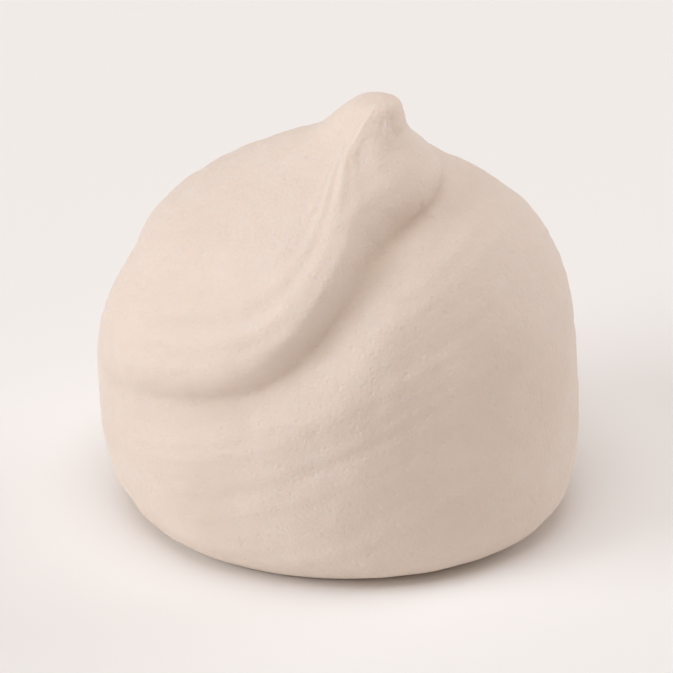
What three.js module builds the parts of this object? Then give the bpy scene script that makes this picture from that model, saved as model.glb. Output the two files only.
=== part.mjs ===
// One small piped meringue kiss, in millimetres.
// Z is up the piping axis and the flat base stands on Z = 0.
// Azimuths are in degrees, from the front (-Y) towards the right (+X).
// Arcs are lengths measured up the side from the edge of the base.
import * as THREE from 'three';

const { clamp, degToRad, smoothstep } = THREE.MathUtils;

// Side profile of the mean body, from the edge of the base up to the tip.
const FOOT = { radius: 6.8, height: 0 };
const HEEL = { radius: 7.75, height: 0.7 };
const FLANK = { radius: 8.3, height: 2.3 };
const BELLY = { radius: 8.4, height: 5.0 };
const SHOULDER = { radius: 7.85, height: 8.2 };
const CROWN = { radius: 6.25, height: 10.95 };
const NECK = { radius: 3.75, height: 12.95 };
const COLLAR = { radius: 1.8, height: 14.25 };
const TIP_SIDE = { radius: 1.1, height: 15.2 };
const TIP_EDGE = { radius: 0.7, height: 15.75 };
const TIP = { radius: 0, height: 16 };

// Mesh density. The columns twist with the fold, so its edge runs along them.
const SIDE_ROWS = 64;
const AROUND = 72;
const TWIST = 38;
const TWIST_ARCS = [6.5, 14.5];

// The cross-section is a little oval, with three soft corners.
const OVAL_AMOUNT = 0.02;
const OVAL_AZIMUTH = 75;
const CORNER_AMOUNT = 0.014;
const CORNER_COUNT = 3;
const CORNER_AZIMUTH = 60;

// The base has spread further to one side than to the other.
const BASE_SPREAD = 0.45;
const BASE_SPREAD_AZIMUTH = 70;
const BASE_SPREAD_TOP = 6;

// The nozzle was pulled away sideways, so the top leans and the tip hooks over.
const LEAN = 1.1;
const LEAN_START = 6;
const HOOK = 0.6;
const HOOK_START = 13.4;
const LEAN_AZIMUTH = 80;

// The last turn of the piped coil laps over the body along one long fold.
// It ramps up round the side, climbs steeply at the front and dies out round the tip.
const COIL_FOLD = {
  fadeIn: [-115, 5],
  fadeOut: [20, 170],
  startAzimuth: -90,
  startArc: 6,
  rampArc: 4.6,
  rampAzimuth: 110,
  climbArc: 6.2,
  climbAzimuth: -5,
  climbSpread: 10,
  depth: 0.55,
  lip: 0.75,
};

// A shorter, softer fold at the back, left by the turn before.
const BACK_FOLD = {
  fadeIn: [120, 200],
  fadeOut: [205, 300],
  startAzimuth: 130,
  startArc: 6.6,
  rampArc: 6,
  rampAzimuth: 130,
  climbArc: 0,
  climbAzimuth: 180,
  climbSpread: 20,
  depth: 0.3,
  lip: 0.34,
};

// How a fold falls away on each side, measured across it.
const LIP_ROUNDING = 0.9;
const LIP_REACH = 4.5;
const CREASE_WIDTH_ABOVE = 0.6;
const CREASE_WIDTH_BELOW = 1.5;

// Shallow hollows where the skin sank, and swells where the foam bulged.
const HOLLOWS_AND_SWELLS = [
  { azimuth: 22, arc: 6.8, size: 2.8, rise: -0.2 },
  { azimuth: 82, arc: 10.6, size: 4.2, rise: 0.5 },
  { azimuth: 205, arc: 4.8, size: 3.2, rise: -0.3 },
  { azimuth: 150, arc: 10.5, size: 2.6, rise: -0.25 },
  { azimuth: -80, arc: 9.8, size: 3.4, rise: 0.3 },
];

// Reliefs fade to nothing this far up the side, so the base stays flat.
const RELIEF_FADE = 1.6;

const TURN = 360;
const SLOPE_STEP = 0.5;

function profileCurve() {
  const stations = [
    FOOT, HEEL, FLANK, BELLY, SHOULDER, CROWN, NECK, COLLAR, TIP_SIDE, TIP_EDGE, TIP,
  ];
  return new THREE.SplineCurve(stations.map((s) => new THREE.Vector2(s.radius, s.height)));
}

// Path of a fold: how far up the side it runs at an azimuth.
function foldArc(fold, azimuth) {
  const ramp = 1 - Math.exp((fold.startAzimuth - azimuth) / fold.rampAzimuth);
  const climb = 1 / (1 + Math.exp((fold.climbAzimuth - azimuth) / fold.climbSpread));
  return fold.startArc + fold.rampArc * ramp + fold.climbArc * climb;
}

// Height of the skin across a fold. Positive offsets are on the lapping side.
function foldSection(fold, offset) {
  const above = offset > 0;
  const width = above ? CREASE_WIDTH_ABOVE : CREASE_WIDTH_BELOW;
  const crease = fold.depth * Math.exp(-((offset / width) ** 2));
  if (!above) {
    return -crease;
  }
  const rise = 1 - Math.exp(-((offset / LIP_ROUNDING) ** 2));
  return fold.lip * rise * Math.exp(-offset / LIP_REACH) - crease;
}

// A fold can pass one azimuth more than once, a turn apart.
function foldRelief(fold, azimuth, arc, radius) {
  let relief = 0;
  const firstTurn = Math.ceil((fold.fadeIn[0] - azimuth) / TURN);
  const lastTurn = Math.floor((fold.fadeOut[1] - azimuth) / TURN);
  for (let turn = firstTurn; turn <= lastTurn; turn += 1) {
    const along = azimuth + turn * TURN;
    const rise = foldArc(fold, along + SLOPE_STEP) - foldArc(fold, along - SLOPE_STEP);
    const run = degToRad(2 * SLOPE_STEP) * Math.max(radius, COLLAR.radius);
    const offset = (arc - foldArc(fold, along)) / Math.hypot(1, rise / run);
    const started = smoothstep(along, ...fold.fadeIn);
    const left = 1 - smoothstep(along, ...fold.fadeOut);
    relief += started * left * foldSection(fold, offset);
  }
  return relief;
}

function unevenness(azimuth, arc, radius) {
  let relief = 0;
  for (const patch of HOLLOWS_AND_SWELLS) {
    const around = 2 * radius * Math.sin(degToRad(azimuth - patch.azimuth) / 2);
    const away = Math.hypot(around, arc - patch.arc) / patch.size;
    relief += patch.rise * Math.exp(-away * away);
  }
  return relief;
}

// Everything that stands proud of, or sinks below, the mean body.
function relief(azimuth, arc, radius) {
  const fade = smoothstep(arc, 0, RELIEF_FADE) * smoothstep(radius, 0, COLLAR.radius);
  if (fade === 0) {
    return 0;
  }
  const coil = foldRelief(COIL_FOLD, azimuth, arc, radius);
  const back = foldRelief(BACK_FOLD, azimuth, arc, radius);
  return fade * (coil + back + unevenness(azimuth, arc, radius));
}

// Scale of the cross-section at an azimuth.
function outline(azimuth) {
  const oval = OVAL_AMOUNT * Math.cos(2 * degToRad(azimuth - OVAL_AZIMUTH));
  const corners = CORNER_AMOUNT * Math.cos(CORNER_COUNT * degToRad(azimuth - CORNER_AZIMUTH));
  return 1 + oval + corners;
}

function baseSpread(azimuth, radius, height) {
  const low = 1 - smoothstep(height, 0, BASE_SPREAD_TOP);
  const share = radius / BELLY.radius;
  return BASE_SPREAD * low * share * Math.cos(degToRad(azimuth - BASE_SPREAD_AZIMUTH));
}

function lean(height) {
  const up = clamp((height - LEAN_START) / (TIP.height - LEAN_START), 0, 1);
  const last = clamp((height - HOOK_START) / (TIP.height - HOOK_START), 0, 1);
  return LEAN * up * up + HOOK * last * last;
}

function meringueGeometry() {
  const curve = profileCurve();
  const rowArc = curve.getLength() / SIDE_ROWS;
  const profile = [new THREE.Vector2(0, 0), ...curve.getSpacedPoints(SIDE_ROWS)];
  profile[profile.length - 1].x = 0;
  const leanAngle = degToRad(LEAN_AZIMUTH);

  const geometry = new THREE.LatheGeometry(profile, AROUND);
  const position = geometry.attributes.position;
  for (let column = 0; column <= AROUND; column += 1) {
    for (let row = 0; row < profile.length; row += 1) {
      const { x: radius, y: height } = profile[row];
      const below = profile[Math.max(row - 1, 1)];
      const above = profile[Math.min(row + 1, profile.length - 1)];
      const normal = new THREE.Vector2(above.y - below.y, below.x - above.x).normalize();

      const arc = Math.max(row - 1, 0) * rowArc;
      const twist = TWIST * smoothstep(arc, ...TWIST_ARCS);
      const azimuth = (TURN * (column % AROUND)) / AROUND + twist;
      const angle = degToRad(azimuth);

      const rise = relief(azimuth, arc, radius);
      const spread = baseSpread(azimuth, radius, height);
      const reach = radius * outline(azimuth) + spread + rise * normal.x;
      const leaning = lean(height);
      position.setXYZ(
        column * profile.length + row,
        reach * Math.sin(angle) + leaning * Math.sin(leanAngle),
        height + rise * normal.y,
        reach * Math.cos(angle) + leaning * Math.cos(leanAngle),
      );
    }
  }

  geometry.rotateX(Math.PI / 2);
  geometry.computeBoundingBox();
  const middle = geometry.boundingBox.getCenter(new THREE.Vector3());
  geometry.translate(-middle.x, -middle.y, 0);
  geometry.computeVertexNormals();
  return geometry;
}

const BAKED_SKIN = new THREE.MeshStandardMaterial({
  color: 0xefe2d3,
  roughness: 0.75,
  metalness: 0,
});

const meringue = new THREE.Mesh(meringueGeometry(), BAKED_SKIN);
meringue.name = 'meringue';

const part = new THREE.Group();
part.name = 'meringue_cookie';
part.add(meringue);

export default part;
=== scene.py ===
# %% [markdown]
# A small meringue kiss: egg white and sugar whipped stiff, squeezed through a plain round
# nozzle onto a baking sheet and dried in a cool oven. It is one piece of brittle foam. Its
# base is flat, its sides are round, and the last turn of the piped coil laps over the body in
# one long fold that ends at a short blunt tip. The whole shape comes from a handful of sizes.
#
# The lesson starts with the frame: the CAD body that gives this piece its true size and place.

# %% Load the frame
import math

import bpy
import numpy as np
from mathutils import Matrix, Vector, noise


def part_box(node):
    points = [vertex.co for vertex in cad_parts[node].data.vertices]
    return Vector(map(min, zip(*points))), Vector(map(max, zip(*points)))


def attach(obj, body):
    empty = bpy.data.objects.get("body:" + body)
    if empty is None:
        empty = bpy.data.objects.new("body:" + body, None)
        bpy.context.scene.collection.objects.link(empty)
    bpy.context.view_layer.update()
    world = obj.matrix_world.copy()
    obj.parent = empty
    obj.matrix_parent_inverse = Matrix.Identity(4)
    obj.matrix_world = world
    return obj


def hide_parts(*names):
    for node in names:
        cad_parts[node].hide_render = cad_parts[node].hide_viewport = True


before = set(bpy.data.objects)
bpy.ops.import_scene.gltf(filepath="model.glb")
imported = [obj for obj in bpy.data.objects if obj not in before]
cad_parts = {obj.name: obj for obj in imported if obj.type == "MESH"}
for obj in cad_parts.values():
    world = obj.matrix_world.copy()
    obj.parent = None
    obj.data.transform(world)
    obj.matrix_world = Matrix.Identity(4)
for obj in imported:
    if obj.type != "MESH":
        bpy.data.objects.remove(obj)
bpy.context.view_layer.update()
low, high = (np.array(corner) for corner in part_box("meringue"))
size = high - low
print("CAD body, mm:", np.round(size * 1000, 2))

# %% [markdown]
# The side of the body is a curve spun round the upright axis. A kiss sags before it sets, so
# the curve bulges low down, rounds over at the shoulder, and thins through a hollow collar to
# the tip where the nozzle pulled away. A Catmull-Rom spline passes through every station, so
# each station is a size that can be read off a real one with a ruler. Lengths are in
# millimetres until the mesh is fitted to the frame.

# %% Side profile
FOOT = (6.8, 0.0)
HEEL = (7.75, 0.7)
FLANK = (8.3, 2.3)
BELLY = (8.4, 5.0)
SHOULDER = (7.85, 8.2)
CROWN = (6.25, 10.95)
NECK = (3.75, 12.95)
COLLAR = (1.8, 14.25)
TIP_SIDE = (1.1, 15.2)
TIP_EDGE = (0.7, 15.75)
TIP = (0.0, 16.0)
STATIONS = np.array([
    FOOT, HEEL, FLANK, BELLY, SHOULDER, CROWN, NECK, COLLAR, TIP_SIDE, TIP_EDGE, TIP,
])
TIP_HEIGHT = TIP[1]
POINTS_PER_SPAN = 200


def catmull_rom(points, per_span):
    """Points along the spline through the given points, per_span to each span."""
    padded = np.vstack([points[:1], points, points[-1:]])
    t = np.linspace(0, 1, per_span, endpoint=False)[:, None]
    spans = []
    for p0, p1, p2, p3 in zip(padded, padded[1:], padded[2:], padded[3:]):
        m1, m2 = (p2 - p0) / 2, (p3 - p1) / 2
        cubic = 2 * p1 - 2 * p2 + m1 + m2
        square = -3 * p1 + 3 * p2 - 2 * m1 - m2
        spans.append(((cubic * t + square) * t + m1) * t + p1)
    return np.vstack([*spans, points[-1:]])


curve = catmull_rom(STATIONS, POINTS_PER_SPAN)
curve_arc = np.concatenate([[0], np.cumsum(np.hypot(*np.diff(curve, axis=0).T))])
print("side length, mm:", round(curve_arc[-1], 2))

# %% [markdown]
# The skin is a grid of rows up the side and columns round it. Even spacing along the arc keeps
# the faces nearly square, small enough for wrinkles and pinholes to be real geometry. The
# columns twist as they climb, so that the steep stretch of the fold runs along them and its
# edge comes out clean instead of in steps.

# %% Grid over the side
ROWS = 200
COLUMNS = 420
TWIST = 38.0
TWIST_ARCS = (6.5, 14.5)


def smoothstep(x, start, end):
    t = np.clip((x - start) / (end - start), 0, 1)
    return t * t * (3 - 2 * t)


row_arc = np.linspace(0, curve_arc[-1], ROWS + 1)
row_radius = np.interp(row_arc, curve_arc, curve[:, 0])
row_height = np.interp(row_arc, curve_arc, curve[:, 1])
row_radius[-1] = 0
along = np.stack([np.gradient(row_radius), np.gradient(row_height)])
along /= np.hypot(*along)

arc, column = np.meshgrid(row_arc, np.arange(COLUMNS), indexing="ij")
radius = np.broadcast_to(row_radius[:, None], arc.shape)
height = np.broadcast_to(row_height[:, None], arc.shape)
along_r, along_z = (np.broadcast_to(a[:, None], arc.shape) for a in along)
azimuth = column * 360 / COLUMNS + TWIST * smoothstep(arc, *TWIST_ARCS)
angle = np.radians(azimuth)
print("side faces:", ROWS * COLUMNS)

# %% [markdown]
# The fold is where the last turn of the coil laps over the turn below. Its edge is a path: how
# far up the side it runs at each azimuth, a slow ramp plus one steep climb at the front. It
# fades in round one side and dies out round the tip. A second, shorter fold lies at the back.
# Both are a few named sizes, so a different kiss is a matter of changing numbers.

# %% Fold paths
COIL_FOLD = dict(
    fade_in=(-115, 5), fade_out=(20, 170), depth=0.55, lip=0.75,
    start_azimuth=-90, start_arc=6.0, ramp_arc=4.6, ramp_azimuth=110,
    climb_arc=6.2, climb_azimuth=-5, climb_spread=10,
)
BACK_FOLD = dict(
    fade_in=(120, 200), fade_out=(205, 300), depth=0.3, lip=0.34,
    start_azimuth=130, start_arc=6.6, ramp_arc=6.0, ramp_azimuth=130,
    climb_arc=0.0, climb_azimuth=180, climb_spread=20,
)


def fold_arc(fold, at):
    ramp = 1 - np.exp((fold["start_azimuth"] - at) / fold["ramp_azimuth"])
    climb = 1 / (1 + np.exp((fold["climb_azimuth"] - at) / fold["climb_spread"]))
    return fold["start_arc"] + fold["ramp_arc"] * ramp + fold["climb_arc"] * climb


for at in (-90, -30, 0, 30, 90):
    print("coil fold at", at, "degrees: arc", round(float(fold_arc(COIL_FOLD, at)), 1), "mm")

# %% [markdown]
# Across the path the skin drops into a crease, then rounds over a lip and settles back. The
# distance to the path is measured square to it, so the fold keeps its width where it climbs. A
# fold can pass one azimuth more than once, a turn apart, which is why every turn is tried.

# %% Fold section
LIP_ROUNDING, LIP_REACH = 0.9, 4.5
CREASE_ABOVE, CREASE_BELOW = 0.6, 1.5
SLOPE_STEP = 0.5


def fold_passes(fold):
    """For each turn: the fold's strength, the distance from it, and a unit step across it."""
    for turn in (-1, 0, 1):
        at = azimuth + 360 * turn
        strength = smoothstep(at, *fold["fade_in"]) * (1 - smoothstep(at, *fold["fade_out"]))
        at = np.clip(at, fold["fade_in"][0], fold["fade_out"][1])
        rise = fold_arc(fold, at + SLOPE_STEP) - fold_arc(fold, at - SLOPE_STEP)
        slope = rise / (np.radians(2 * SLOPE_STEP) * np.maximum(radius, COLLAR[0]))
        steep = np.hypot(1, slope)
        yield strength, (arc - fold_arc(fold, at)) / steep, slope / steep, 1 / steep


def fold_section(fold, offset):
    width = np.where(offset > 0, CREASE_ABOVE, CREASE_BELOW)
    crease = fold["depth"] * np.exp(-((offset / width) ** 2))
    out = np.maximum(offset, 0)
    rise = 1 - np.exp(-((out / LIP_ROUNDING) ** 2))
    return fold["lip"] * rise * np.exp(-out / LIP_REACH) - crease


sample = np.array([-3.0, -1.0, 0.0, 1.0, 3.0])
print("section at", sample, "mm:", np.round(fold_section(COIL_FOLD, sample), 2))

# %% [markdown]
# A lip of soft foam hangs a little over the crease below it. Moving the skin straight out
# can't make that overhang, so the lip is also pushed sideways, across the fold and down into
# the crease. The same step keeps a mask of how deep in a crease each point lies, which later
# paints a warm shade into the creases.

# %% Raise the folds
OVERHANG = 0.5
OVERHANG_AT, OVERHANG_WIDTH = 0.55, 0.55
CREASE_MASK_WIDTH = 0.45
outward = np.zeros_like(arc)
around = np.zeros_like(arc)
upward = np.zeros_like(arc)
crease_shade_mask = np.zeros_like(arc)
for fold in (COIL_FOLD, BACK_FOLD):
    for strength, offset, across_around, across_up in fold_passes(fold):
        outward += strength * fold_section(fold, offset)
        push = OVERHANG * fold["lip"] * np.exp(-(((offset - OVERHANG_AT) / OVERHANG_WIDTH) ** 2))
        around += strength * push * across_around
        upward -= strength * push * across_up
        deep = np.exp(-((offset / CREASE_MASK_WIDTH) ** 2)) * fold["depth"] / COIL_FOLD["depth"]
        # The mask marks where shade is painted into the creases.
        crease_shade_mask = np.maximum(crease_shade_mask, strength**2 * deep)
print("lip stands proud by, mm:", round(outward.max(), 2))
print("crease sinks by, mm:", round(-outward.min(), 2))

# %% [markdown]
# Foam drags against the nozzle as it leaves, and dries with faint lines that run along the
# folds. They are a wave in the distance from the fold, on its lapping side, and noise breaks
# them up so that no two are alike. Gradient noise is random but smooth, and the same point
# always gets the same value, so the piece comes out alike on every run.

# %% Drag lines along the folds
DRAG_SPACING = 1.15
DRAG_DEPTH = 0.055
DRAG_START, DRAG_END = (0.4, 1.4), (2.0, 5.5)
WANDER, WANDER_SIZE, WANDER_SHIFT = 1.1, 4.0, 3.1
GAP_SIZE, GAP_SHIFT = 2.2, 8.4


def noise_at(points, feature, shift=0.0):
    """Gradient noise, about -1 to 1, with features of a given size; shift gives another cut."""
    flat = points.reshape(-1, points.shape[-1]) / feature + shift
    return np.array([noise.noise(Vector(p)) for p in flat]).reshape(points.shape[:-1])


spun = np.stack([radius * np.sin(angle), -radius * np.cos(angle), height], axis=-1)
wander = WANDER * noise_at(spun, WANDER_SIZE, WANDER_SHIFT)
gaps = 0.5 + 0.5 * noise_at(spun, GAP_SIZE, GAP_SHIFT)
drag = np.zeros_like(arc)
for fold in (COIL_FOLD, BACK_FOLD):
    for strength, offset, _, _ in fold_passes(fold):
        wave = np.cos(math.tau * (offset - LIP_ROUNDING) / DRAG_SPACING + wander)
        near = smoothstep(offset, *DRAG_START) * (1 - smoothstep(offset, *DRAG_END))
        drag += DRAG_DEPTH * strength * near * gaps * wave
outward += drag
print("drag lines, mm:", round(drag.min(), 3), "to", round(drag.max(), 3))

# %% [markdown]
# Wet foam also sinks in places and bulges in others, which breaks up the round of the body.
# Each patch is a soft bump with a place, a size and a rise. Near the foot all relief fades to
# nothing, because the base lies flat on the sheet. It fades at the tip too, where the columns
# run together and any relief would fold the skin over itself.

# %% Hollows and swells
HOLLOWS_AND_SWELLS = [  # azimuth, arc, size, rise
    (22, 6.8, 2.8, -0.20),
    (82, 10.6, 4.2, 0.50),
    (205, 4.8, 3.2, -0.30),
    (150, 10.5, 2.6, -0.25),
    (-80, 9.8, 3.4, 0.30),
]
RELIEF_FADE = 1.6
for where, up, patch, rise in HOLLOWS_AND_SWELLS:
    sideways = 2 * radius * np.sin(np.radians(azimuth - where) / 2)
    outward += rise * np.exp(-((np.hypot(sideways, arc - up) / patch) ** 2))

settle = smoothstep(arc, 0, RELIEF_FADE) * smoothstep(radius, 0, COLLAR[0])
outward, around, upward = outward * settle, around * settle, upward * settle
print("relief, mm:", round(outward.min(), 2), "to", round(outward.max(), 2))

# %% [markdown]
# Now the grid becomes points in space. The cross-section is a little oval with three soft
# corners, the base has spread more to one side, and the top leans the way the nozzle left.

# %% Place the points
OVAL, OVAL_AZIMUTH = 0.02, 75
CORNER, CORNER_COUNT, CORNER_AZIMUTH = 0.014, 3, 60
SPREAD, SPREAD_AZIMUTH, SPREAD_TOP = 0.45, 70, 6.0
LEAN, LEAN_START = 1.1, 6.0
HOOK, HOOK_START = 0.6, 13.4
LEAN_AZIMUTH = math.radians(80)

outline = 1 + OVAL * np.cos(2 * np.radians(azimuth - OVAL_AZIMUTH))
outline += CORNER * np.cos(CORNER_COUNT * np.radians(azimuth - CORNER_AZIMUTH))
low_down = (1 - smoothstep(height, 0, SPREAD_TOP)) * radius / BELLY[0]
spread = SPREAD * low_down * np.cos(np.radians(azimuth - SPREAD_AZIMUTH))
lean = LEAN * np.clip((height - LEAN_START) / (TIP_HEIGHT - LEAN_START), 0, 1) ** 2
lean += HOOK * np.clip((height - HOOK_START) / (TIP_HEIGHT - HOOK_START), 0, 1) ** 2

normal_r, normal_z = along_z, -along_r
reach = radius * outline + spread + outward * normal_r + upward * along_r
body = np.stack([
    reach * np.sin(angle) + around * -np.cos(angle) + lean * math.sin(LEAN_AZIMUTH),
    -reach * np.cos(angle) + around * -np.sin(angle) - lean * math.cos(LEAN_AZIMUTH),
    height + outward * normal_z + upward * along_z,
], axis=-1)
print("body box, mm:", np.round(np.ptp(body.reshape(-1, 3), axis=0), 2))

# %% [markdown]
# A perfect surface reads as plastic. Dried foam has soft lumps a few millimetres wide and fine
# ripples that ring the piece where the coil was laid. They are moved in the mesh, along the
# true normals of the body, so they shade and cast shade as the real skin does. The ripples are
# noise squeezed flat in one direction, tilted like the coil.

# %% Lumps and ripples
LUMPS = [(5.5, 0.16), (2.6, 0.075), (1.1, 0.036), (0.5, 0.016)]  # size, height
RIPPLE_TILT = 0.42
RIPPLE_SPACING = 0.5
RIPPLE_LENGTH = 7.0
RIPPLE_DEPTH = 0.042
RIPPLE_SHIFT = 31.7


def grid_normals(points):
    """Unit normals of a grid that closes on itself along its second axis."""
    up = np.gradient(points, axis=0)
    side = np.roll(points, -1, axis=1) - np.roll(points, 1, axis=1)
    out = np.cross(side, up)
    out /= np.maximum(np.linalg.norm(out, axis=-1, keepdims=True), 1e-9)
    out[-1] = (0, 0, 1)
    return out


normals = grid_normals(body)
lumps = sum(amount * noise_at(body, feature, feature) for feature, amount in LUMPS)
flattened = body / RIPPLE_LENGTH
flattened[..., 2] = (body[..., 2] - RIPPLE_TILT * body[..., 0]) / RIPPLE_SPACING
ripples = RIPPLE_DEPTH * noise_at(flattened, 1.0, RIPPLE_SHIFT)
print("lumps, mm:", round(np.ptp(lumps), 3), "ripples, mm:", round(np.ptp(ripples), 3))

# %% [markdown]
# Bubbles near the skin burst as it dries and leave pinholes. Each is a small pit with a faint
# raised rim, put at a random point of the grid. Depth and rim are shares of the pit's size. The
# random numbers have a fixed seed.

# %% Pinholes
PINHOLES = 60
PINHOLE_SIZES = (0.07, 0.15)
PINHOLE_ROWS = (8, ROWS - 12)
SEED = 7
PINHOLE_DEPTH = 0.28
RIM_HEIGHT, RIM_AT, RIM_SPREAD = 0.05, 1.35, 0.08
random = np.random.default_rng(SEED)
pinholes = np.zeros_like(arc)
pick_rows = random.integers(*PINHOLE_ROWS, PINHOLES)
pick_columns = random.integers(0, COLUMNS, PINHOLES)
for r, c in zip(pick_rows, pick_columns):
    hole = random.uniform(*PINHOLE_SIZES)
    away = np.linalg.norm(body - body[r, c], axis=-1) / hole
    pinholes -= PINHOLE_DEPTH * hole * np.exp(-(away**4))
    pinholes += RIM_HEIGHT * hole * np.exp(-((away - RIM_AT) ** 2) / RIM_SPREAD)

fine = (lumps + ripples) * settle + pinholes
body = body + normals * fine[..., None]
body[-1] = body[-1].mean(axis=0)
print("fine relief, mm:", round(fine.min(), 3), "to", round(fine.max(), 3))

# %% [markdown]
# The underside dried against the sheet. It is flat, so the piece stands on it, with shallow
# craters where steam and bubbles were trapped. Rings run inwards from the foot to the middle.

# %% Underside
RINGS = 28
CRATERS = 60
CRATER_SIZES = (0.15, 0.6)
CRATER_DEPTH = 0.35
CRATER_MARGIN = 1.2
foot = body[0].copy()
foot[:, 2] = 0
middle = foot.mean(axis=0)
shares = np.linspace(1, 0, RINGS + 1)[1:, None, None]
under = middle + (foot - middle) * shares
craters = np.zeros(under.shape[:2])
for _ in range(CRATERS):
    hole = random.uniform(*CRATER_SIZES)
    bearing = random.uniform(0, math.tau)
    out = (FOOT[0] - CRATER_MARGIN) * math.sqrt(random.uniform(0, 1))
    centre = middle + out * np.array([math.sin(bearing), math.cos(bearing), 0])
    away = np.linalg.norm(under - centre, axis=-1) / hole
    craters = np.maximum(craters, CRATER_DEPTH * hole * np.exp(-(away**4)))
under[..., 2] += craters
print("deepest crater, mm:", round(craters.max(), 2))

# %% [markdown]
# The rows, the rings and one centre point at each end become the faces of one closed mesh.
# Rows are joined by strips of four-sided faces, and fans of triangles close both ends. Corners
# are listed anticlockwise seen from outside, which makes every face point outwards.

# %% Join the faces
def strip(first, second, count):
    """Quads between two rows of vertices that both close on themselves."""
    here = np.arange(count)
    there = (here + 1) % count
    return np.stack([first + here, first + there, second + there, second + here], axis=1)


side_rows = body[:-1].reshape(-1, 3)
under_rows = under[:-1].reshape(-1, 3)
points = np.vstack([side_rows, under_rows, body[-1, 0], under[-1, 0]])
tip_index, middle_index = len(points) - 2, len(points) - 1

faces = []
for row in range(ROWS - 1):
    faces += strip(row * COLUMNS, (row + 1) * COLUMNS, COLUMNS).tolist()
top = (ROWS - 1) * COLUMNS
faces += [[top + c, top + (c + 1) % COLUMNS, tip_index] for c in range(COLUMNS)]
side_faces = len(faces)

ring_starts = [0] + [ROWS * COLUMNS + ring * COLUMNS for ring in range(RINGS - 1)]
for outer, inner in zip(ring_starts, ring_starts[1:]):
    faces += strip(inner, outer, COLUMNS).tolist()
last = ring_starts[-1]
faces += [[last + (c + 1) % COLUMNS, last + c, middle_index] for c in range(COLUMNS)]
print("faces:", len(faces), "of them on the underside:", len(faces) - side_faces)

# %% [markdown]
# The CAD body gives the true size, so the points are fitted to its box before they become a
# Blender mesh. The object then rides on the body called root and stands in for the CAD solid,
# which is hidden.

# %% Build the mesh
points -= points.min(axis=0)
points = low + points / points.max(axis=0) * size
mesh = bpy.data.meshes.new("meringue_skin")
mesh.from_pydata(points.tolist(), [], faces)
mesh.polygons.foreach_set("use_smooth", np.ones(len(faces), dtype=bool))
meringue = bpy.data.objects.new("meringue_skin", mesh)
bpy.context.collection.objects.link(meringue)
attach(meringue, "root")
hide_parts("meringue")
print("mesh:", len(points), "points,", sum(len(f) - 2 for f in faces), "triangles")

# %% [markdown]
# The crease shade mask goes onto the mesh as an attribute, a number at every point that a
# material can read, and the skin uses it to paint shade into its creases. Faces of the
# underside get a material slot of their own, because the base dries a shade darker.

# %% Masks and slots
attribute = mesh.attributes.new("crease", "FLOAT", "POINT")
values = np.zeros(len(points))
values[: len(side_rows)] = (crease_shade_mask * settle)[:-1].ravel()
attribute.data.foreach_set("value", values)
slots = np.zeros(len(faces), dtype=int)
slots[side_faces:] = 1
print("points in a crease:", int((values > 0.5).sum()))

# %% [markdown]
# Materials are built from nodes. A few short helpers add a node, set its values and link it,
# so that each effect below reads as a list of what it does.

# %% Node helpers
def new_group(name, inputs, outputs):
    """A shader node group with named sockets: inputs are (name, type, default)."""
    group = bpy.data.node_groups.new(name, "ShaderNodeTree")
    for label, kind, default in inputs:
        socket = group.interface.new_socket(label, in_out="INPUT", socket_type=kind)
        socket.default_value = default
    for label, kind in outputs:
        group.interface.new_socket(label, in_out="OUTPUT", socket_type=kind)
    return group, group.nodes.new("NodeGroupInput"), group.nodes.new("NodeGroupOutput")


def feed(tree, value, socket):
    """Link a socket to another, or set it to a plain number."""
    if isinstance(value, (int, float)):
        socket.default_value = value
    else:
        tree.links.new(value, socket)


def texture(tree, kind, coordinates, scale, **settings):
    node = tree.nodes.new(kind)
    for name, value in settings.items():
        node.inputs[name].default_value = value
    tree.links.new(coordinates, node.inputs["Vector"])
    feed(tree, scale, node.inputs["Scale"])
    return node.outputs[0]


def math_node(tree, operation, first, second):
    node = tree.nodes.new("ShaderNodeMath")
    node.operation = operation
    feed(tree, first, node.inputs[0])
    feed(tree, second, node.inputs[1])
    return node.outputs[0]


def map_range(tree, value, from_range, to_range):
    node = tree.nodes.new("ShaderNodeMapRange")
    node.inputs["From Min"].default_value, node.inputs["From Max"].default_value = from_range
    node.inputs["To Min"].default_value, node.inputs["To Max"].default_value = to_range
    tree.links.new(value, node.inputs["Value"])
    return node.outputs["Result"]


print("node helpers ready")

# %% [markdown]
# Side and underside share the same foam, so its effects are node groups, each built once. The
# first is the grain, far finer than the mesh: powdery sugar, a close field of tiny bubbles, and
# larger pores that come in patches. Voronoi distance makes the bubbles, because it falls to
# nothing at the middle of each cell and so gives round pits. The group puts out a height for a
# Bump node, and the same height drives the roughness, because grain catches light unevenly.

# %% Foam grain group
POWDER_SCALE, BUBBLE_SCALE, PORE_SCALE, PATCH_SCALE = 9000.0, 3600.0, 1500.0, 420.0
BUBBLE_WIDTH, PORE_WIDTH = 0.4, 0.22
PATCH_EDGE = (0.5, 0.66)
HEIGHT_RANGE, ROUGH_RANGE = (-0.1, 0.4), (0.88, 0.62)


def pits(tree, where, scale, width):
    """Round pits: 1 at the middle of a pit, 0 outside it."""
    nearest = texture(tree, "ShaderNodeTexVoronoi", where, scale, Randomness=1.0)
    return map_range(tree, nearest, (0.0, width), (1.0, 0.0))


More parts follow.
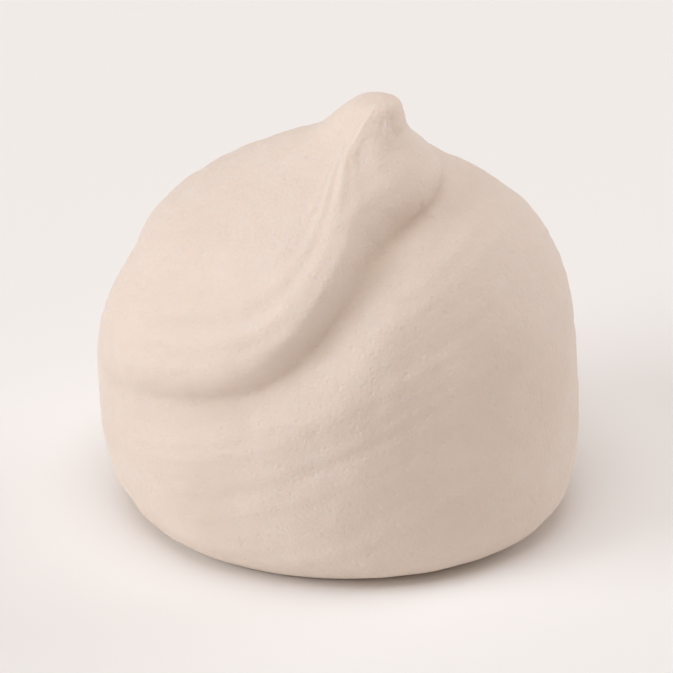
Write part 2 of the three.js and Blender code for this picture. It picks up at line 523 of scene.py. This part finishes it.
def make_foam_grain():
    group, enter, leave = new_group(
        "Foam grain",
        [("Vector", "NodeSocketVector", (0, 0, 0)), ("Powder Amount", "NodeSocketFloat", 0.6),
         ("Bubble Amount", "NodeSocketFloat", 0.3), ("Pore Amount", "NodeSocketFloat", 0.5)],
        [("Height", "NodeSocketFloat"), ("Roughness", "NodeSocketFloat")],
    )
    where = enter.outputs["Vector"]
    powder = texture(group, "ShaderNodeTexNoise", where, POWDER_SCALE, Detail=3.0, Roughness=0.6)
    powder = math_node(group, "MULTIPLY", powder, enter.outputs["Powder Amount"])
    bubbles = pits(group, where, BUBBLE_SCALE, BUBBLE_WIDTH)
    bubbles = math_node(group, "MULTIPLY", bubbles, enter.outputs["Bubble Amount"])
    patches = texture(group, "ShaderNodeTexNoise", where, PATCH_SCALE, Detail=1.0)
    patches = map_range(group, patches, PATCH_EDGE, (0.0, 1.0))
    pores = math_node(group, "MULTIPLY", pits(group, where, PORE_SCALE, PORE_WIDTH), patches)
    pores = math_node(group, "MULTIPLY", pores, enter.outputs["Pore Amount"])
    holes = math_node(group, "ADD", bubbles, pores)
    bump_height = math_node(group, "SUBTRACT", powder, holes)
    group.links.new(bump_height, leave.inputs["Height"])
    rough = map_range(group, bump_height, HEIGHT_RANGE, ROUGH_RANGE)
    group.links.new(rough, leave.inputs["Roughness"])
    return group


FOAM_GRAIN = make_foam_grain()
print("group:", FOAM_GRAIN.name, "with", len(FOAM_GRAIN.nodes), "nodes")

# %% [markdown]
# The second group is the colour. Whipped sugar dries to a warm off-white that is never quite
# even: it drifts between two creams over a few millimetres, and turns warmer where it is
# toasted. The same warm colour also paints shade into the creases.

# %% Cream colour group
DRIFT_SCALE, SPECKLE_SCALE, SPECKLE_SHARE = 260.0, 2400.0, 0.35
DEPTH_RANGE = (0.5, 0.85)


def mix_colours(tree, factor, first, second):
    node = tree.nodes.new("ShaderNodeMix")
    node.data_type = "RGBA"
    for value, name in ((factor, "Factor_Float"), (first, "A_Color"), (second, "B_Color")):
        socket = next(s for s in node.inputs if s.identifier == name)
        tree.links.new(value, socket)
    return next(s for s in node.outputs if s.identifier == "Result_Color")


def make_cream_colour():
    group, enter, leave = new_group(
        "Cream colour",
        [("Vector", "NodeSocketVector", (0, 0, 0)), ("Pale", "NodeSocketColor", (1, 1, 1, 1)),
         ("Deep", "NodeSocketColor", (1, 1, 1, 1)), ("Toast And Shade Colour", "NodeSocketColor", (1, 1, 1, 1)),
         ("Toast And Shade Amount", "NodeSocketFloat", 0.0)],
        [("Color", "NodeSocketColor")],
    )
    where = enter.outputs["Vector"]
    drift = texture(group, "ShaderNodeTexNoise", where, DRIFT_SCALE, Detail=2.0, Roughness=0.55)
    speckle = texture(group, "ShaderNodeTexNoise", where, SPECKLE_SCALE, Detail=2.0, Roughness=0.6)
    speckle = math_node(group, "MULTIPLY", speckle, SPECKLE_SHARE)
    depth = map_range(group, math_node(group, "ADD", drift, speckle), DEPTH_RANGE, (0.0, 1.0))
    cream = mix_colours(group, depth, enter.outputs["Pale"], enter.outputs["Deep"])
    # The toast amount mixes in real toasting and painted crease shade alike.
    toasted_and_shaded = mix_colours(group, enter.outputs["Toast And Shade Amount"], cream, enter.outputs["Toast And Shade Colour"])
    group.links.new(toasted_and_shaded, leave.inputs["Color"])
    return group


CREAM_COLOUR = make_cream_colour()
print("group:", CREAM_COLOUR.name, "with", len(CREAM_COLOUR.nodes), "nodes")

# %% [markdown]
# Each material is a Principled shader fed by the two groups. Light sinks a little way into dry
# foam and comes out warm, which is subsurface scattering with a radius well under a
# millimetre. It softens the shading and keeps creases from going grey. The powdery surface is
# rough, with only the faintest gloss.

# %% Materials
PALE = (0.84, 0.74, 0.665)
DEEP = (0.815, 0.705, 0.625)
# One warm colour serves for the real toasting at the foot and base and for the painted shade in
# the creases.
TOAST_AND_SHADE_COLOUR = (0.72, 0.58, 0.46)
SKIN_BUMP, BASE_BUMP = 0.00005, 0.00007
SKIN_PORES, BASE_PORES = 0.5, 0.9
BASE_TOAST = 0.35
REFRACTIVE_INDEX, GLOSS = 1.45, 0.3
GLOW_WEIGHT, GLOW_SCALE = 0.35, 0.0009
GLOW_RADIUS = (1.0, 0.72, 0.5)


def foam_material(name, pale, deep, bump, pore_amount):
    """Returns the material, its colour group node and its coordinates socket."""
    material = bpy.data.materials.new(name)
    material.use_nodes = True
    tree = material.node_tree
    shader = tree.nodes["Principled BSDF"]
    shader.inputs["IOR"].default_value = REFRACTIVE_INDEX
    shader.inputs["Specular IOR Level"].default_value = GLOSS
    shader.inputs["Subsurface Weight"].default_value = GLOW_WEIGHT
    shader.inputs["Subsurface Radius"].default_value = GLOW_RADIUS
    shader.inputs["Subsurface Scale"].default_value = GLOW_SCALE
    where = tree.nodes.new("ShaderNodeTexCoord").outputs["Object"]

    grain = tree.nodes.new("ShaderNodeGroup")
    grain.node_tree = FOAM_GRAIN
    grain.inputs["Pore Amount"].default_value = pore_amount
    tree.links.new(where, grain.inputs["Vector"])
    tree.links.new(grain.outputs["Roughness"], shader.inputs["Roughness"])
    relief = tree.nodes.new("ShaderNodeBump")
    relief.inputs["Strength"].default_value = 1.0
    relief.inputs["Distance"].default_value = bump
    tree.links.new(grain.outputs["Height"], relief.inputs["Height"])
    tree.links.new(relief.outputs["Normal"], shader.inputs["Normal"])

    colour = tree.nodes.new("ShaderNodeGroup")
    colour.node_tree = CREAM_COLOUR
    for label, value in (("Pale", pale), ("Deep", deep), ("Toast And Shade Colour", TOAST_AND_SHADE_COLOUR)):
        colour.inputs[label].default_value = (*value, 1)
    tree.links.new(where, colour.inputs["Vector"])
    tree.links.new(colour.outputs["Color"], shader.inputs["Base Color"])
    return material, colour, where


skin, skin_colour, skin_where = foam_material("baked_skin", PALE, DEEP, SKIN_BUMP, SKIN_PORES)
base, base_colour, _ = foam_material("baked_base", DEEP, TOAST_AND_SHADE_COLOUR, BASE_BUMP, BASE_PORES)
base_colour.inputs["Toast And Shade Amount"].default_value = BASE_TOAST
print("materials:", skin.name, base.name)

# %% [markdown]
# On the skin the warm colour shows in two places: along the creases, from the mask, as painted
# shade, and in a thin band at the foot, where the hot sheet dried it first. The higher of the
# two wins.

# %% Painted crease shade and the toasted foot
# Painted shade: how strongly the crease mask warms and darkens the skin.
CREASE_SHADE = 0.4
FOOT_TOAST, FOOT_BAND = 0.35, 0.09
tree = skin.node_tree
crease = tree.nodes.new("ShaderNodeAttribute")
crease.attribute_name = "crease"
painted_crease_shade = math_node(tree, "MULTIPLY", crease.outputs["Fac"], CREASE_SHADE)
place = tree.nodes.new("ShaderNodeSeparateXYZ")
tree.links.new(skin_where, place.inputs["Vector"])
band = (float(low[2]), float(low[2] + FOOT_BAND * size[2]))
at_foot = map_range(tree, place.outputs["Z"], band, (FOOT_TOAST, 0.0))
toast_and_crease_shade = math_node(tree, "MAXIMUM", painted_crease_shade, at_foot)
tree.links.new(toast_and_crease_shade, skin_colour.inputs["Toast And Shade Amount"])

mesh.materials.append(skin)
mesh.materials.append(base)
mesh.polygons.foreach_set("material_index", slots)
mesh.update()
print("materials on the mesh:", [m.name for m in mesh.materials])

# %% [markdown]
# The main light stands to the left. That side is bright, the lip of the fold catches it, and
# the crease behind the lip falls into soft shade. A weaker light keeps the right side from
# going dark, and a third hangs overhead. They are sun lamps, whose light is equally strong
# everywhere, so the floor stays plain however far it is seen. The angle of a sun lamp is how
# wide it looks from the piece: a wide one gives soft shadows, as a studio soft box does.

# %% Lamps
LAMP_COLOUR = (0.98, 1.0, 1.03)
LAMPS = [  # name, bearing from the front, elevation, angle across, strength
    ("left_light", -80, 24, 36, 1.3),
    ("right_light", 112, 16, 38, 0.85),
    ("top_light", -30, 80, 46, 1.25),
]


def direction(bearing, elevation):
    """The way from the piece towards a lamp or the camera, from angles in degrees."""
    turn, lift = math.radians(bearing), math.radians(elevation)
    flat = math.cos(lift)
    return Vector((flat * math.sin(turn), -flat * math.cos(turn), math.sin(lift)))


for name, bearing, elevation, across, strength in LAMPS:
    lamp = bpy.data.lights.new(name, "SUN")
    lamp.energy = strength
    lamp.angle = math.radians(across)
    lamp.color = LAMP_COLOUR
    holder = bpy.data.objects.new(name, lamp)
    holder.rotation_euler = direction(bearing, elevation).to_track_quat("Z", "Y").to_euler()
    bpy.context.collection.objects.link(holder)
print("lamps:", [lamp.name for lamp in bpy.data.lights])

# %% [markdown]
# The stage is a plain white floor, level with the foot of the piece. It reaches far past the
# longest shadow.

# %% Floor
FLOOR_REACH = 3.0
FLOOR_COLOUR = (0.95, 0.95, 0.95)
level = float(low[2])
corners = [(-1, -1), (1, -1), (1, 1), (-1, 1)]
floor_points = [(FLOOR_REACH * x, FLOOR_REACH * y, level) for x, y in corners]
floor_mesh = bpy.data.meshes.new("floor")
floor_mesh.from_pydata(floor_points, [], [(0, 1, 2, 3)])
floor = bpy.data.objects.new("floor", floor_mesh)
bpy.context.collection.objects.link(floor)
paper = bpy.data.materials.new("white_paper")
paper.use_nodes = True
sheet = paper.node_tree.nodes["Principled BSDF"]
sheet.inputs["Base Color"].default_value = (*FLOOR_COLOUR, 1)
sheet.inputs["Roughness"].default_value = 1.0
sheet.inputs["Specular IOR Level"].default_value = 0.0
floor_mesh.materials.append(paper)
print("floor level, mm:", round(level * 1000, 3))

# %% [markdown]
# The room gives a soft warm fill, which stands for the light that bounces between neighbouring
# pieces. Where the view runs past the floor, the room shows the floor's own brightness, worked
# out from the lamps, so no horizon line appears in a low view. A Light Path node tells the two
# apart: it knows whether a ray comes from the camera or only carries light.

# %% Room
FILL_COLOUR, FILL_STRENGTH = np.array((1.0, 0.79, 0.64)), 0.3
on_floor = sum(math.sin(math.radians(up)) * power for _, _, up, _, power in LAMPS) / math.pi
lit_floor = FLOOR_COLOUR * (on_floor * np.array(LAMP_COLOUR) + FILL_STRENGTH * FILL_COLOUR)
room = bpy.data.worlds.new("room")
room.use_nodes = True
room_tree = room.node_tree
fill = room_tree.nodes["Background"]
fill.inputs["Color"].default_value = (*FILL_COLOUR, 1)
fill.inputs["Strength"].default_value = FILL_STRENGTH
backdrop = room_tree.nodes.new("ShaderNodeBackground")
backdrop.inputs["Color"].default_value = (*lit_floor, 1)
backdrop.inputs["Strength"].default_value = 1.0
either = room_tree.nodes.new("ShaderNodeMixShader")
seen = room_tree.nodes.new("ShaderNodeLightPath").outputs["Is Camera Ray"]
room_tree.links.new(seen, either.inputs[0])
room_tree.links.new(fill.outputs[0], either.inputs[1])
room_tree.links.new(backdrop.outputs[0], either.inputs[2])
room_tree.links.new(either.outputs[0], room_tree.nodes["World Output"].inputs["Surface"])
bpy.context.scene.world = room
bpy.context.scene.view_settings.view_transform = "Standard"
print("brightness of the lit floor:", np.round(lit_floor, 3))

# %% [markdown]
# The camera looks down on the piece at the slant of a product shot on a table, from a little
# left of the front, where the fold shows best. It stands well back behind a long lens, so a
# piece this small keeps its true outline. Seen from above, the near edge of the base hangs low
# in the picture, so the camera aims below the middle.

# %% Camera
BEARING, ELEVATION = -7.0, 27.5
LENS = 400
DISTANCE = 0.27
AIM_HEIGHT = 0.39
NEAR_CLIP = 0.01
target = Vector((low + high) / 2)
target.z = low[2] + AIM_HEIGHT * size[2]
camera_data = bpy.data.cameras.new("camera")
camera_data.lens = LENS
camera_data.clip_start = NEAR_CLIP
camera = bpy.data.objects.new("camera", camera_data)
camera.location = target + DISTANCE * direction(BEARING, ELEVATION)
camera.rotation_euler = (math.radians(90 - ELEVATION), 0, math.radians(BEARING))
bpy.context.collection.objects.link(camera)
bpy.context.scene.camera = camera
print("camera at, mm:", [round(c * 1000) for c in camera.location])
